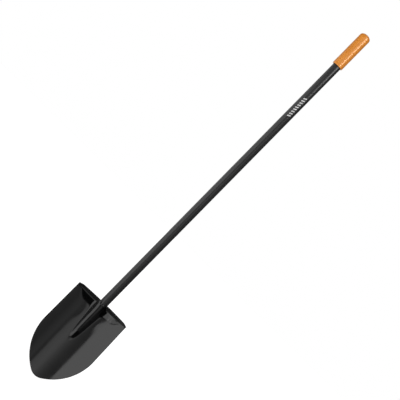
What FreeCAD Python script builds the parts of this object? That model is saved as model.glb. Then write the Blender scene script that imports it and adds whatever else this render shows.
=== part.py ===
import FreeCAD, Part
import math
import os

# Round point shovel: a pressed sheet steel blade, a round steel tube shaft that lies in the blade's frog
# and is welded to it, and a moulded grip over the shaft's upper end. Nothing on it moves.
#
# All sizes are in millimetres. +Z runs up the shaft, the blade's hollow face looks along -Y, and X runs
# across the blade. Building starts with the shaft's axis on X = Y = 0; at the end everything is moved
# together, so that the origin is the bottom centre of the whole object's box.
#
# The blade has its own coordinates: x across, s up along the blade from its fold, n forward out of its
# hollow face. The fold is where the top of the sheet turns forward into the foot step.

# ---- driving dimensions ----
OVERALL_LENGTH = 1460.0

TUBE_RADIUS = 14.3
TUBE_WALL = 1.2
SWAGE_RADIUS = 10.3         # the tube's lower end is swaged down to this
SWAGE_TOP = 53.0            # distances below the fold, measured along the blade
SWAGE_END = 96.0
TUBE_NOSE = 7.0             # length of the closed lower end
TUBE_NOSE_RADIUS = 4.5

SHEET = 1.9                 # blade thickness
BLADE_LENGTH = 288.0        # fold to tip, along the blade
BLADE_HALF_WIDTH = 101.5
BLADE_TOP_HALF_WIDTH = 99.8
LIFT = math.radians(11.0)   # how far the blade tips forward from the line of the shaft
DISH_RADIUS = 172.0         # curve of the blade across its width
TIP_CURL = 7.0              # how far the tip bends further forward
TIP_CURL_START = 165.0
FOLD_BEHIND_SHAFT = 14.0    # the sheet's middle at the fold, behind the shaft's axis
DRAW_DEPTH = 0.85           # the pressing draws the sheet in on both sides of the frog: how deep,
DRAW_OUT = 24.0             # where across and down from the fold, and how wide and long
DRAW_DOWN = 52.0
DRAW_WIDTH = 12.0
DRAW_LENGTH = 28.0

POINT_RADIUS = 38.0         # outline of the round point: a tip arc and two long side arcs
POINT_ANGLE = math.radians(30.0)
POINT_BLEND = 60.0          # height over which the grid's rows turn from the tip arc to straight lines

FROG_GAP = 0.25             # between the tube and the pressed channel that holds it
FROG_SPARE = 1.6            # extra crown radius where the swaged tube ends
FROG_WALL_SLOPE = math.radians(75.0)
FROG_FILLET = 5.0
FROG_SHOULDER = 9.0         # the frog's fillet grows by this much towards the top,
FROG_SHOULDER_LENGTH = 60.0  # over this length
FROG_NOSE = 100.0           # where the frog starts to run out into the pan, below the fold
FROG_RAMP = 46.0            # length over which it does

LEAD_LENGTH = 32.0          # the sheet already leans forward over this length below the fold,
LEAD_SLOPE = 0.55           # to this slope, which fades out towards the corners
LEAD_FADE = 50.0
STEP_BEND_RADIUS = 6.0
STEP_ANGLE = math.radians(65.0)
STEP_ANGLE_FALL = 1.5       # power of the frog's rise by which the step stands up beside the frog
STEP_DEPTH = 18.0
STEP_DEPTH_LOST = 5.0       # how much shallower the step is at the blade's corners
STEP_DROP = 1.5             # how far the fold runs down towards the corners
STEP_DROP_BLEND = 60.0      # height over which the grid's rows take up that drop
STEP_CORNER_LOST = 0.6      # share of its depth that the step loses as its front edge rounds the corners
STEP_CORNER_START = 84.0    # where that starts, and how far across the blade it takes
STEP_CORNER_SPAN = 20.0
MOUTH_RISE = 3.5            # how far the frog's crown runs on above the fold
MOUTH_BEND = 2.5            # length of the crown's sheet that is level with the step's bend
MOUTH_HALF_WIDTH = 7.5      # the mouth's edge is level to here, then climbs to the step's edge
MOUTH_SIDE = 5.0

GRIP_RADIUS = 18.6
GRIP_LENGTH = 134.0
GRIP_CROWN = 24.0           # the closed end's large dome radius
GRIP_CORNER = 10.0          # and the smaller one that runs it into the side
GRIP_END_WALL = 10.0
GRIP_CLEARANCE = 0.1
GRIP_MOUTH_CHAMFER = 1.0
GRIP_RIM = 1.4              # rounding of the lower outer edge

PLUG_LENGTH = 30.0
PLUG_HEAD = 3.0
PLUG_CLEARANCE = 0.1
PLUG_HEAD_INSET = 0.2       # from the tube's outer face
PLUG_WALL = 2.5
PLUG_END_WALL = 3.0
PLUG_ROUNDING = 2.0         # of the lower edge

GRID_FROG = 2.0             # spacing of the blade's grid across the frog
GRID_PAN = 6.0              # on the plain sheet
GRID_RAMP = 2.8             # and where the frog runs out
GRID_POINT_ROWS = 22        # rows in the point, closer together towards the tip by this power
GRID_POINT_POWER = 1.5
GRID_FOLD_ROWS = 5          # rows round the fold and up the step
GRID_STEP_ROWS = 4
SLOPE_REACH = 1e-3          # distance over which the sheet's slope is measured

BACK_WELD_TOP = 16.0        # the back welds' ends, below the fold
BACK_WELD_END = 90.0
BACK_WELD_REACH = 2.3       # how far the bead's centre lies from each of the faces it joins
BACK_WELD_SPANS = 4         # straight runs along the bead
WELD_BITE = 0.8             # extra bead radius that fills the corner
TOE_WELD_RADIUS = 4.2
TOE_WELD_HALF_LENGTH = 4.5
TOE_WELD_BELOW_TUBE = 2.5   # the bead's line, below the tube's closed end
MOUTH_WELD_RADIUS = 2.2
MOUTH_WELD_HALF_ANGLE = 24.0
MOUTH_WELD_RAISED = 0.6     # the bead's line, above the crown's edge
MOUTH_WELD_SEAT = 0.2       # gap that the bead's flat underside keeps to that edge
SEARCH_STEP = 0.25          # fineness and width of the search for the sheet beside the tube
SEARCH_WIDTH = 50.0
SEARCH_HALVINGS = 12

# ---- derived sizes ----
TIP_SLOPE = 2 * TIP_CURL / (BLADE_LENGTH - TIP_CURL_START)
FOLD_Z = (BLADE_LENGTH + TIP_SLOPE * SHEET / 2) * math.cos(LIFT) - (TIP_CURL - SHEET / 2) * math.sin(LIFT)
TUBE_TOP = OVERALL_LENGTH - GRIP_END_WALL - PLUG_HEAD
CROWN_Y = -(TUBE_RADIUS + FROG_GAP + SHEET / 2)
POINT_HALF_WIDTH = POINT_RADIUS * math.sin(POINT_ANGLE)     # of the tip arc, and its height
POINT_HEIGHT = POINT_RADIUS * (1 - math.cos(POINT_ANGLE))
SIDE_RADIUS = (BLADE_HALF_WIDTH - POINT_HALF_WIDTH) / (1 - math.sin(POINT_ANGLE))
WIDEST = -BLADE_LENGTH + POINT_HEIGHT + SIDE_RADIUS * math.cos(POINT_ANGLE)


def smooth(t):
    """0 below 0, 1 above 1, and an even curve between."""
    t = min(max(t, 0.0), 1.0)
    return t * t * (3 - 2 * t)


def blade_point(x, s, n):
    """A point given in the blade's coordinates, in the building frame."""
    y = FOLD_BEHIND_SHAFT + s * math.sin(LIFT) - n * math.cos(LIFT)
    z = FOLD_Z + s * math.cos(LIFT) + n * math.sin(LIFT)
    return FreeCAD.Vector(x, y, z)


def blade_direction(x, s, n):
    return blade_point(x, s, n) - blade_point(0, 0, 0)


# ---- the blade's middle surface ----
def tube_radius(down):
    """Outer radius of the tube at a distance below the fold."""
    share = (down - SWAGE_TOP) / (SWAGE_END - SWAGE_TOP)
    return TUBE_RADIUS + (SWAGE_RADIUS - TUBE_RADIUS) * min(max(share, 0.0), 1.0)


def dish(x, s):
    """Forward height of the plain hollow, without its frog."""
    arc = DISH_RADIUS - math.sqrt(DISH_RADIUS**2 - x**2)
    curl = max(0.0, (-s - TIP_CURL_START) / (BLADE_LENGTH - TIP_CURL_START))
    away = ((abs(x) - DRAW_OUT) / DRAW_WIDTH) ** 2 + ((s + DRAW_DOWN) / DRAW_LENGTH) ** 2
    return arc + TIP_CURL * curl**2 - DRAW_DEPTH * math.exp(-away)


def lead(x, s):
    """Forward height that the sheet gains as it leans into the step's bend, straight on above the fold."""
    inward = smooth((BLADE_HALF_WIDTH - abs(x)) / LEAD_FADE)
    slope = LEAD_SLOPE * inward
    length = LEAD_LENGTH * (1 + 3 * inward) / 4
    share = max(0.0, s / length + 1)
    if share > 1:
        return slope * (length / 2 + s)
    return slope * length / 2 * share**2


def half_width(s):
    """The blade's outline: a long arc up each side of the point, then nearly straight sides."""
    if s >= WIDEST:
        return BLADE_HALF_WIDTH + (BLADE_TOP_HALF_WIDTH - BLADE_HALF_WIDTH) * (s - WIDEST) / -WIDEST
    return BLADE_HALF_WIDTH - SIDE_RADIUS + math.sqrt(SIDE_RADIUS**2 - (WIDEST - s) ** 2)


class FrogSection:
    """The frog's cross section: a round crown, sloping walls and a fillet into the sheet."""

    def __init__(self, s):
        down = min(max(-s, -MOUTH_RISE), FROG_NOSE)
        past_nose = min(max((-s - FROG_NOSE) / FROG_RAMP, 0.0), 1.0)
        self.left = 1 - smooth(past_nose)
        self.squeeze = math.sqrt(1 - past_nose**2)
        crown_down = min(max(-s, -MOUTH_RISE), FROG_NOSE + FROG_RAMP)
        self.height = (FOLD_BEHIND_SHAFT - CROWN_Y - crown_down * math.sin(LIFT)) / math.cos(LIFT)
        spare = FROG_SPARE * smooth((down - SWAGE_TOP) / (SWAGE_END - SWAGE_TOP))
        self.crown = tube_radius(down) + FROG_GAP + SHEET / 2 + spare
        self.fillet = FROG_FILLET + FROG_SHOULDER * smooth(1 - down / FROG_SHOULDER_LENGTH)
        bends = self.crown + self.fillet
        wall = self.height - bends * (1 - math.cos(FROG_WALL_SLOPE))
        self.slope = FROG_WALL_SLOPE if wall > 0 else math.acos(1 - self.height / bends)
        self.crown_end = self.crown * math.sin(self.slope)
        self.wall_end = self.crown_end + max(wall, 0.0) / math.tan(FROG_WALL_SLOPE)
        self.foot = self.wall_end + self.fillet * math.sin(self.slope)

    def rise(self, away):
        """Height above the sheet at a distance from the frog's middle line."""
        if away >= self.foot * self.squeeze:
            return 0.0
        return self.left * self.profile(away / self.squeeze)

    def profile(self, away):
        if away <= self.crown_end:
            return self.height - self.crown + math.sqrt(self.crown**2 - away**2)
        if away <= self.wall_end:
            crown_edge = self.height - self.crown * (1 - math.cos(self.slope))
            return crown_edge - (away - self.crown_end) * math.tan(self.slope)
        return self.fillet - math.sqrt(self.fillet**2 - (self.foot - away) ** 2)


TOP_SECTION = FrogSection(0.0)


def sheet_height(x, s):
    """Forward height of the sheet's middle: the hollow with its frog."""
    section = FrogSection(s)
    rise = section.rise(abs(x))
    if s < -LEAD_LENGTH:
        return dish(x, s) + rise
    return dish(x, s) + rise + lead(x, s) * (1 - rise / section.height)


def pan_place(u, v):
    """Where a grid point lies on the pan. u runs across, to the outline; v is the height on the middle line.
    The lowest row follows the tip arc, and the columns follow the frog's crown, wall and foot."""
    arc_share = POINT_HEIGHT * (1 - smooth((v + BLADE_LENGTH) / POINT_BLEND))
    width = half_width(v + arc_share)
    section = FrogSection(max(v, -FROG_NOSE))
    squeeze = min(1.0, width / half_width(-FROG_NOSE)) if v < -FROG_NOSE else 1.0
    crown_end = section.crown_end * squeeze
    foot = section.foot * squeeze
    size = abs(u)
    top = TOP_SECTION
    if size <= top.crown_end:
        x = crown_end * size / top.crown_end
    elif size <= top.foot:
        x = crown_end + (foot - crown_end) * (size - top.crown_end) / (top.foot - top.crown_end)
    else:
        x = foot + (width - foot) * (size - top.foot) / (BLADE_TOP_HALF_WIDTH - top.foot)
    on_arc = POINT_HALF_WIDTH * x / width
    s = v + arc_share * (POINT_RADIUS - math.sqrt(POINT_RADIUS**2 - on_arc**2)) / POINT_HEIGHT
    s -= STEP_DROP * (x / BLADE_HALF_WIDTH) ** 2 * smooth(1 + v / STEP_DROP_BLEND)
    return math.copysign(x, u), s


def step_point(x, v):
    """The sheet round the fold (v from 0 to 1) and along the step (1 to 2). Beside the frog the step stands
    up, and on the frog's crown it is straight. Its edge stays level up to the mouth, and sweeps evenly to
    the corners, whatever the pan's lean below it."""
    up_frog = TOP_SECTION.rise(abs(x)) / TOP_SECTION.height
    lean = 1 - up_frog**STEP_ANGLE_FALL
    angle = max(STEP_ANGLE * lean, 1e-4)
    arc = MOUTH_BEND + (STEP_BEND_RADIUS * STEP_ANGLE - MOUTH_BEND) * lean
    radius = arc / angle
    turned = angle * min(v, 1.0)
    out = (x / BLADE_HALF_WIDTH) ** 2
    s = radius * math.sin(turned) - STEP_DROP * out
    forward = radius * (1 - math.cos(turned))
    if v > 1:
        corner = STEP_CORNER_LOST * smooth((abs(x) - STEP_CORNER_START) / STEP_CORNER_SPAN)
        depth = (STEP_DEPTH - STEP_DEPTH_LOST * out) * (1 - corner)
        step_rise = STEP_BEND_RADIUS * math.sin(STEP_ANGLE) + depth * math.cos(STEP_ANGLE)
        climb = smooth((abs(x) - MOUTH_HALF_WIDTH) / MOUTH_SIDE)
        rise = MOUTH_RISE + (step_rise - MOUTH_RISE) * climb
        along = (v - 1) * (rise - radius * math.sin(angle)) / math.cos(angle)
        levelled = lead(0, 0) * (1 - out) - lead(x, 0)
        s += along * math.cos(angle)
        forward += along * math.sin(angle) + (v - 1) * levelled
    return blade_point(x, s, sheet_height(x, s) + forward)


def middle_and_normal(u, v):
    """A point of the sheet's middle surface and the unit normal there, towards the hollow face."""
    reach = SLOPE_REACH
    if v <= 0:
        x, s = pan_place(u, v)
        slope_x = (sheet_height(x + reach, s) - sheet_height(x - reach, s)) / (2 * reach)
        slope_s = (sheet_height(x, s + reach) - sheet_height(x, s - reach)) / (2 * reach)
        return blade_point(x, s, sheet_height(x, s)), blade_direction(-slope_x, -slope_s, 1).normalize()
    across = step_point(u + reach, v) - step_point(u - reach, v)
    up = step_point(u, v + reach) - step_point(u, v - reach)
    return step_point(u, v), across.cross(up).normalize()


def spaced(start, end, step):
    """Evenly spaced values from start up to, but not including, end."""
    count = max(1, round((end - start) / step))
    return [start + (end - start) * i / count for i in range(count)]


def grid():
    top = TOP_SECTION
    half = spaced(0.0, top.crown_end, GRID_FROG) + spaced(top.crown_end, top.foot, GRID_FROG)
    half += spaced(top.foot, BLADE_TOP_HALF_WIDTH, GRID_PAN) + [BLADE_TOP_HALF_WIDTH]
    across = [-x for x in reversed(half[1:])] + half
    ramp_start, ramp_end = GRID_PAN - FROG_NOSE, -(FROG_NOSE + FROG_RAMP)
    point_length = ramp_end + BLADE_LENGTH
    shares = [(i / GRID_POINT_ROWS) ** GRID_POINT_POWER for i in range(GRID_POINT_ROWS)]
    along = [-BLADE_LENGTH + point_length * share for share in shares]
    along += spaced(ramp_end, ramp_start, GRID_RAMP) + spaced(ramp_start, 0.0, GRID_PAN)
    along += spaced(0.0, 1.0, 1 / GRID_FOLD_ROWS) + spaced(1.0, 2.0, 1 / GRID_STEP_ROWS) + [2.0]
    return across, along


def knots(count):
    """Knots and multiplicities for a cubic with this many poles, which runs from end pole to end pole."""
    inner = count - 4
    return list(range(inner + 2)), [4] + [1] * inner + [4]


def smooth_surface(rows):
    """A cubic surface that follows a fine grid of points without ever swinging past them."""
    u_knots, u_mults = knots(len(rows))
    v_knots, v_mults = knots(len(rows[0]))
    surface = Part.BSplineSurface()
    surface.buildFromPolesMultsKnots(rows, u_mults, v_mults, u_knots, v_knots, False, False, 3, 3)
    return surface


def blade():
    """The sheet's hollow face and back, each a surface over the grid, joined round the outline."""
    across, along = grid()
    middles = [[middle_and_normal(u, v) for v in along] for u in across]
    front, back = [
        smooth_surface([[middle + normal * side for middle, normal in column] for column in middles])
        for side in (SHEET / 2, -SHEET / 2)
    ]
    faces = [front.toShape(), back.toShape()]
    u0, u1, v0, v1 = front.bounds()
    w0, w1, t0, t1 = back.bounds()
    borders = [
        (front.uIso(u0), back.uIso(w0)),
        (front.uIso(u1), back.uIso(w1)),
        (front.vIso(v0), back.vIso(t0)),
        (front.vIso(v1), back.vIso(t1)),
    ]
    for one, other in borders:
        faces.append(Part.makeRuledSurface(one.toShape(), other.toShape()))
    shell = Part.makeShell(faces)
    shell.sewShape()
    solid = Part.makeSolid(shell)
    if solid.Volume < 0:
        solid.reverse()
    return solid


# ---- shaft, plug and grip ----
def tube_axis_y(radius):
    """The swaged end keeps its front line straight, so its axis moves forward as it narrows."""
    return radius - TUBE_RADIUS


def swaged_end(thickness_off):
    """Loft of the tube's lower end, with this much taken off every radius."""
    wires = []
    stations = [(SWAGE_TOP, TUBE_RADIUS), (SWAGE_END, SWAGE_RADIUS)]
    if not thickness_off:
        stations.append((SWAGE_END + TUBE_NOSE, TUBE_NOSE_RADIUS))
    for down, radius in stations:
        z = FOLD_Z - down * math.cos(LIFT)
        centre = FreeCAD.Vector(0, tube_axis_y(radius), z)
        circle = Part.Circle(centre, FreeCAD.Vector(0, 0, 1), radius - thickness_off)
        wires.append(Part.Wire([circle.toShape()]))
    return Part.makeLoft(wires, True, True)


def shaft_tube():
    bottom = FOLD_Z - SWAGE_TOP * math.cos(LIFT)
    base = FreeCAD.Vector(0, 0, bottom)
    outer = Part.makeCylinder(TUBE_RADIUS, TUBE_TOP - bottom, base).fuse(swaged_end(0.0))
    bore = Part.makeCylinder(TUBE_RADIUS - TUBE_WALL, TUBE_TOP - bottom, base)
    return outer.cut(bore).cut(swaged_end(TUBE_WALL)).removeSplitter()


def tube_plug():
    """A moulded plug that closes the tube's top end, with a rounded lower edge."""
    shank = TUBE_RADIUS - TUBE_WALL - PLUG_CLEARANCE
    body = Part.makeCylinder(shank, PLUG_LENGTH, FreeCAD.Vector(0, 0, TUBE_TOP - PLUG_LENGTH))
    middle = TUBE_TOP - PLUG_LENGTH / 2
    lower = [edge for edge in body.Edges if edge.BoundBox.ZMax < middle]
    body = body.makeFillet(PLUG_ROUNDING, lower)
    head = Part.makeCylinder(TUBE_RADIUS - PLUG_HEAD_INSET, PLUG_HEAD, FreeCAD.Vector(0, 0, TUBE_TOP))
    hollow = PLUG_LENGTH - PLUG_END_WALL
    core = Part.makeCylinder(shank - PLUG_WALL, hollow, FreeCAD.Vector(0, 0, TUBE_TOP - PLUG_LENGTH))
    return body.fuse(head).cut(core).removeSplitter()


def grip_sleeve():
    """The moulded grip: turned profile with a domed, closed top and an open mouth for the tube."""
    bore = TUBE_RADIUS + GRIP_CLEARANCE
    bottom = OVERALL_LENGTH - GRIP_LENGTH
    bore_top = TUBE_TOP + PLUG_HEAD
    rim = GRIP_RIM
    rim_inset = rim * (1 - math.sqrt(0.5))

    def at(radius, z):
        return FreeCAD.Vector(radius, 0, z)

    corner = FreeCAD.Vector(GRIP_RADIUS - GRIP_CORNER, 0, 0)
    spread = GRIP_CROWN - GRIP_CORNER
    crown_z = OVERALL_LENGTH - GRIP_CROWN
    corner.z = crown_z + math.sqrt(spread**2 - corner.x**2)
    lean = math.atan2(corner.x, corner.z - crown_z)
    half_lean = lean / 2
    meeting = at(GRIP_CROWN * math.sin(lean), crown_z + GRIP_CROWN * math.cos(lean))
    crown_mid = at(GRIP_CROWN * math.sin(half_lean), crown_z + GRIP_CROWN * math.cos(half_lean))
    turn = (lean + math.pi / 2) / 2
    corner_mid = corner + at(GRIP_CORNER * math.sin(turn), GRIP_CORNER * math.cos(turn))
    shoulder = at(GRIP_RADIUS, corner.z)
    edges = [
        Part.Arc(at(0, OVERALL_LENGTH), crown_mid, meeting).toShape(),
        Part.Arc(meeting, corner_mid, shoulder).toShape(),
        Part.makeLine(shoulder, at(GRIP_RADIUS, bottom + rim)),
        Part.Arc(
            at(GRIP_RADIUS, bottom + rim),
            at(GRIP_RADIUS - rim_inset, bottom + rim_inset),
            at(GRIP_RADIUS - rim, bottom),
        ).toShape(),
        Part.makeLine(at(GRIP_RADIUS - rim, bottom), at(bore + GRIP_MOUTH_CHAMFER, bottom)),
        Part.makeLine(at(bore + GRIP_MOUTH_CHAMFER, bottom), at(bore, bottom + GRIP_MOUTH_CHAMFER)),
        Part.makeLine(at(bore, bottom + GRIP_MOUTH_CHAMFER), at(bore, bore_top)),
        Part.makeLine(at(bore, bore_top), at(0, bore_top)),
        Part.makeLine(at(0, bore_top), at(0, OVERALL_LENGTH)),
    ]
    face = Part.Face(Part.Wire(Part.__sortEdges__(edges)))
    return face.revolve(FreeCAD.Vector(0, 0, 0), FreeCAD.Vector(0, 0, 1), 360)


# ---- welds ----
def nearest_sheet(x, n, s):
    """Distance from a point to the sheet's middle, in the section at one height on the blade."""
    sides = spaced(0.0, SEARCH_WIDTH, SEARCH_STEP)
    return min(math.hypot(x - side, n - sheet_height(side, s)) for side in sides)


def back_weld_centre(down):
    """Where a bead lies in the corner between the tube and the back of the sheet, as far from one as from the
    other. The search halves the angle round the tube, from its back towards the sheet."""
    radius = tube_radius(down)
    tube_n = (FOLD_BEHIND_SHAFT - down * math.sin(LIFT) - tube_axis_y(radius)) / math.cos(LIFT)
    reach = radius + BACK_WELD_REACH
    clear, blocked = 0.0, math.pi / 2
    for _ in range(SEARCH_HALVINGS):
        angle = (clear + blocked) / 2
        x = reach * math.sin(angle)
        n = tube_n - reach * math.cos(angle)
        if nearest_sheet(x, n, -down) < BACK_WELD_REACH + SHEET / 2:
            blocked = angle
        else:
            clear = angle
    return x, -down, n


def back_weld():
    """The bead along the tube's -X side, in straight runs; the other bead mirrors it."""
    radius = BACK_WELD_REACH + WELD_BITE
    points = []
    for i in range(BACK_WELD_SPANS + 1):
        x, s, n = back_weld_centre(BACK_WELD_TOP + (BACK_WELD_END - BACK_WELD_TOP) * i / BACK_WELD_SPANS)
        points.append(blade_point(-x, s, n))
    bead = Part.makeSphere(radius, points[0])
    for start, end in zip(points, points[1:]):
        run = end - start
        bead = bead.fuse(Part.makeCylinder(radius, run.Length, start, run))
        bead = bead.fuse(Part.makeSphere(radius, end))
    return bead


def toe_weld():
    down = SWAGE_END + TUBE_NOSE + TOE_WELD_BELOW_TUBE
    n = sheet_height(0, -down) - SHEET / 2 - TOE_WELD_RADIUS + WELD_BITE
    bead = None
    for x in (-TOE_WELD_HALF_LENGTH, TOE_WELD_HALF_LENGTH):
        ball = Part.makeSphere(TOE_WELD_RADIUS, blade_point(x, -down, n))
        bead = ball if bead is None else bead.fuse(ball)
    start = blade_point(-TOE_WELD_HALF_LENGTH, -down, n)
    rod = Part.makeCylinder(TOE_WELD_RADIUS, 2 * TOE_WELD_HALF_LENGTH, start, FreeCAD.Vector(1, 0, 0))
    return bead.fuse(rod)


def mouth_weld():
    """A bead on the top edge of the frog's crown, round the front of the tube."""
    axis = blade_direction(0, 1, 0)
    axis_n = (FOLD_BEHIND_SHAFT + MOUTH_RISE * math.sin(LIFT)) / math.cos(LIFT)
    ring = TUBE_RADIUS + FROG_GAP + SHEET / 2
    centre = blade_point(0, MOUTH_RISE + MOUTH_WELD_RAISED, axis_n)
    ends = []
    for side in (-1, 1):
        angle = math.radians(MOUTH_WELD_HALF_ANGLE) * side
        ends.append(centre + blade_direction(ring * math.sin(angle), 0, ring * math.cos(angle)))
    circle = Part.Circle(ends[0], axis.cross(ends[0] - centre), MOUTH_WELD_RADIUS)
    face = Part.Face(Part.Wire([circle.toShape()]))
    bead = face.revolve(centre, axis, 2 * MOUTH_WELD_HALF_ANGLE)
    for end in ends:
        bead = bead.fuse(Part.makeSphere(MOUTH_WELD_RADIUS, end))
    seat = blade_point(0, MOUTH_RISE + MOUTH_WELD_SEAT, axis_n)
    above_edge = Part.makeCylinder(2 * ring, 2 * MOUTH_WELD_RADIUS, seat, axis)
    return bead.common(above_edge)


def main():
    os.makedirs("parts", exist_ok=True)
    sheet = blade()
    tube = shaft_tube()
    swage = FreeCAD.Vector(0, 0, FOLD_Z - SWAGE_TOP * math.cos(LIFT))
    tube_space = Part.makeCylinder(TUBE_RADIUS, TUBE_TOP - swage.z, swage).fuse(swaged_end(0.0))
    parts = {
        "blade": sheet,
        "shaft_tube": tube,
        "tube_plug": tube_plug(),
        "grip_sleeve": grip_sleeve(),
    }
    bead = back_weld().cut(tube_space).cut(sheet)
    parts["weld_back_right"] = bead
    parts["weld_back_left"] = bead.mirror(FreeCAD.Vector(0, 0, 0), FreeCAD.Vector(1, 0, 0))
    parts["weld_toe"] = toe_weld().cut(tube_space).cut(sheet)
    parts["weld_mouth"] = mouth_weld().cut(tube_space)
    for name, shape in parts.items():
        parts[name] = max(shape.Solids, key=lambda solid: solid.Volume)
    boxes = [shape.optimalBoundingBox(False, False) for shape in parts.values()]
    front = min(box.YMin for box in boxes)
    back = max(box.YMax for box in boxes)
    bottom = min(box.ZMin for box in boxes)
    move = FreeCAD.Vector(0, -(front + back) / 2, -bottom)
    for name, shape in parts.items():
        shape = shape.copy()
        shape.translate(move)
        box = shape.optimalBoundingBox(False, False)
        print(name, shape.isValid(), len(shape.Solids), round(shape.Volume), end=" ")
        print([round(v, 2) for v in (box.XMin, box.XMax, box.YMin, box.YMax, box.ZMin, box.ZMax)])
        shape.exportStep(f"parts/{name}.step")
    print("shaft axis y", round(move.y, 3), "lifted", round(move.z, 3))


main()
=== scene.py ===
import math

import bpy
from mathutils import Matrix, Vector


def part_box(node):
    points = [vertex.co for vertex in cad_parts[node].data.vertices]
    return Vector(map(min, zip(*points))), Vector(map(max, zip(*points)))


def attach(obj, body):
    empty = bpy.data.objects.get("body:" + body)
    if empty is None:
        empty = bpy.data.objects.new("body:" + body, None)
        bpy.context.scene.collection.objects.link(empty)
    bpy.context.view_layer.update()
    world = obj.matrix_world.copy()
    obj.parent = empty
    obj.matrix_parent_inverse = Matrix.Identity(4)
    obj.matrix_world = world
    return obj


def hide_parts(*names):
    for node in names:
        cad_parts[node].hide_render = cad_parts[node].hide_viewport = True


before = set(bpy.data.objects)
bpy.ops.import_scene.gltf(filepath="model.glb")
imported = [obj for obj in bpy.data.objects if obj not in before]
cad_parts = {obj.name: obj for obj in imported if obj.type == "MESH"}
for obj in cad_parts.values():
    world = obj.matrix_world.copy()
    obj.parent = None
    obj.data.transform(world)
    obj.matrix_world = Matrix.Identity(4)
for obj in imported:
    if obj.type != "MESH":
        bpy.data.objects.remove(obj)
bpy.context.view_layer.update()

# Round point shovel. The row's frame: +Z up the shaft, -Y out of the blade's hollow face, z = 0 at the tip.
# Everything is in metres. The blade has its own coordinates: x across, s up along the blade from the fold
# under the foot step, n forward out of the hollow face.

MM = 0.001
ROOT = "root"

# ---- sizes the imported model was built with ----
TUBE_RADIUS = 14.3 * MM
SWAGE_RADIUS = 10.3 * MM            # the tube's lower end is swaged down to this
SWAGE_TOP = 53 * MM                 # distances below the fold, measured along the blade
SWAGE_END = 96 * MM
TUBE_NOSE = 7 * MM                  # length of the closed lower end
TUBE_NOSE_RADIUS = 4.5 * MM
SHEET = 1.9 * MM                    # blade thickness
BLADE_LENGTH = 288 * MM             # fold to tip, along the blade
BLADE_HALF_WIDTH = 101.5 * MM
BLADE_TOP_HALF_WIDTH = 99.8 * MM
LIFT = math.radians(11)             # how far the blade tips forward from the line of the shaft
DISH_RADIUS = 172 * MM              # curve of the blade across its width
TIP_CURL = 7 * MM                   # how far the tip bends further forward
TIP_CURL_START = 165 * MM
FOLD_BEHIND_SHAFT = 14 * MM         # the sheet's middle at the fold, behind the shaft's axis
DRAW_DEPTH = 0.85 * MM              # the pressing draws the sheet in on both sides of the frog: how deep,
DRAW_OUT = 24 * MM                  # where across and down from the fold, and how wide and long
DRAW_DOWN = 52 * MM
DRAW_WIDTH = 12 * MM
DRAW_LENGTH = 28 * MM
POINT_RADIUS = 38 * MM              # outline of the round point: a tip arc and two long side arcs
POINT_ANGLE = math.radians(30)
POINT_BLEND = 60 * MM               # height over which the grid's rows straighten above the tip arc
FROG_GAP = 0.25 * MM                # between the tube and the pressed channel that holds it
FROG_SPARE = 1.6 * MM               # extra crown radius where the swaged tube ends
FROG_WALL_SLOPE = math.radians(75)
FROG_FILLET = 5 * MM
FROG_SHOULDER = 9 * MM              # the frog's fillet grows by this much towards the top,
FROG_SHOULDER_LENGTH = 60 * MM      # over this length
FROG_NOSE = 100 * MM                # where the frog starts to run out into the pan, below the fold
FROG_RAMP = 46 * MM                 # length over which it does
LEAD_LENGTH = 32 * MM               # the sheet already leans forward over this length below the fold,
LEAD_SLOPE = 0.55                   # to this slope, which fades out towards the corners
LEAD_FADE = 50 * MM
STEP_BEND_RADIUS = 6 * MM
STEP_ANGLE = math.radians(65)
STEP_ANGLE_FALL = 1.5               # power of the frog's rise by which the step stands up beside the frog
STEP_DEPTH = 18 * MM
STEP_DEPTH_LOST = 5 * MM            # how much shallower the step is at the blade's corners
STEP_DROP = 1.5 * MM                # how far the fold runs down towards the corners
STEP_DROP_BLEND = 60 * MM           # height over which the grid's rows take up that drop
STEP_CORNER_LOST = 0.6              # share of its depth that the step loses as its edge rounds the corners
STEP_CORNER_START = 84 * MM         # where that starts, and how far across the blade it takes
STEP_CORNER_SPAN = 20 * MM
LEAST_ANGLE = 1e-4                  # keeps the straight crown's bend from dividing by zero
SLOPE_REACH = 1e-3 * MM             # distance over which the sheet's slope is measured
SLOPE_SHARE = 1e-3                  # and the share of the fold's turn or of the step's height
MOUTH_RISE = 3.5 * MM               # how far the frog's crown runs on above the fold
MOUTH_BEND = 2.5 * MM               # length of the crown's sheet that is level with the step's bend
MOUTH_HALF_WIDTH = 7.5 * MM         # the mouth's edge is level to here, then climbs to the step's edge
MOUTH_SIDE = 5 * MM
GRIP_RADIUS = 18.6 * MM
GRIP_CROWN = 24 * MM                # the closed end's large dome radius
GRIP_CORNER = 10 * MM               # and the smaller one that runs it into the side
GRIP_GAP = 0.1 * MM
GRIP_RIM = 1.4 * MM                 # rounding of the lower outer edge

POINT_HALF_WIDTH = POINT_RADIUS * math.sin(POINT_ANGLE)
POINT_HEIGHT = POINT_RADIUS * (1 - math.cos(POINT_ANGLE))
SIDE_RADIUS = (BLADE_HALF_WIDTH - POINT_HALF_WIDTH) / (1 - math.sin(POINT_ANGLE))
WIDEST = -BLADE_LENGTH + POINT_HEIGHT + SIDE_RADIUS * math.cos(POINT_ANGLE)
TIP_SLOPE = 2 * TIP_CURL / (BLADE_LENGTH - TIP_CURL_START)
FOLD_Z = (BLADE_LENGTH + TIP_SLOPE * SHEET / 2) * math.cos(LIFT) - (TIP_CURL - SHEET / 2) * math.sin(LIFT)
CROWN_Y = -(TUBE_RADIUS + FROG_GAP + SHEET / 2)

grip_low, grip_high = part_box("grip_sleeve")
tube_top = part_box("shaft_tube")[1].z
SHAFT_Y = (grip_low.y + grip_high.y) / 2


def smooth(t):
    """An even ease from 0 to 1 as t goes from 0 to 1, and level outside that."""
    t = min(max(t, 0.0), 1.0)
    return t * t * (3 - 2 * t)


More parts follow.
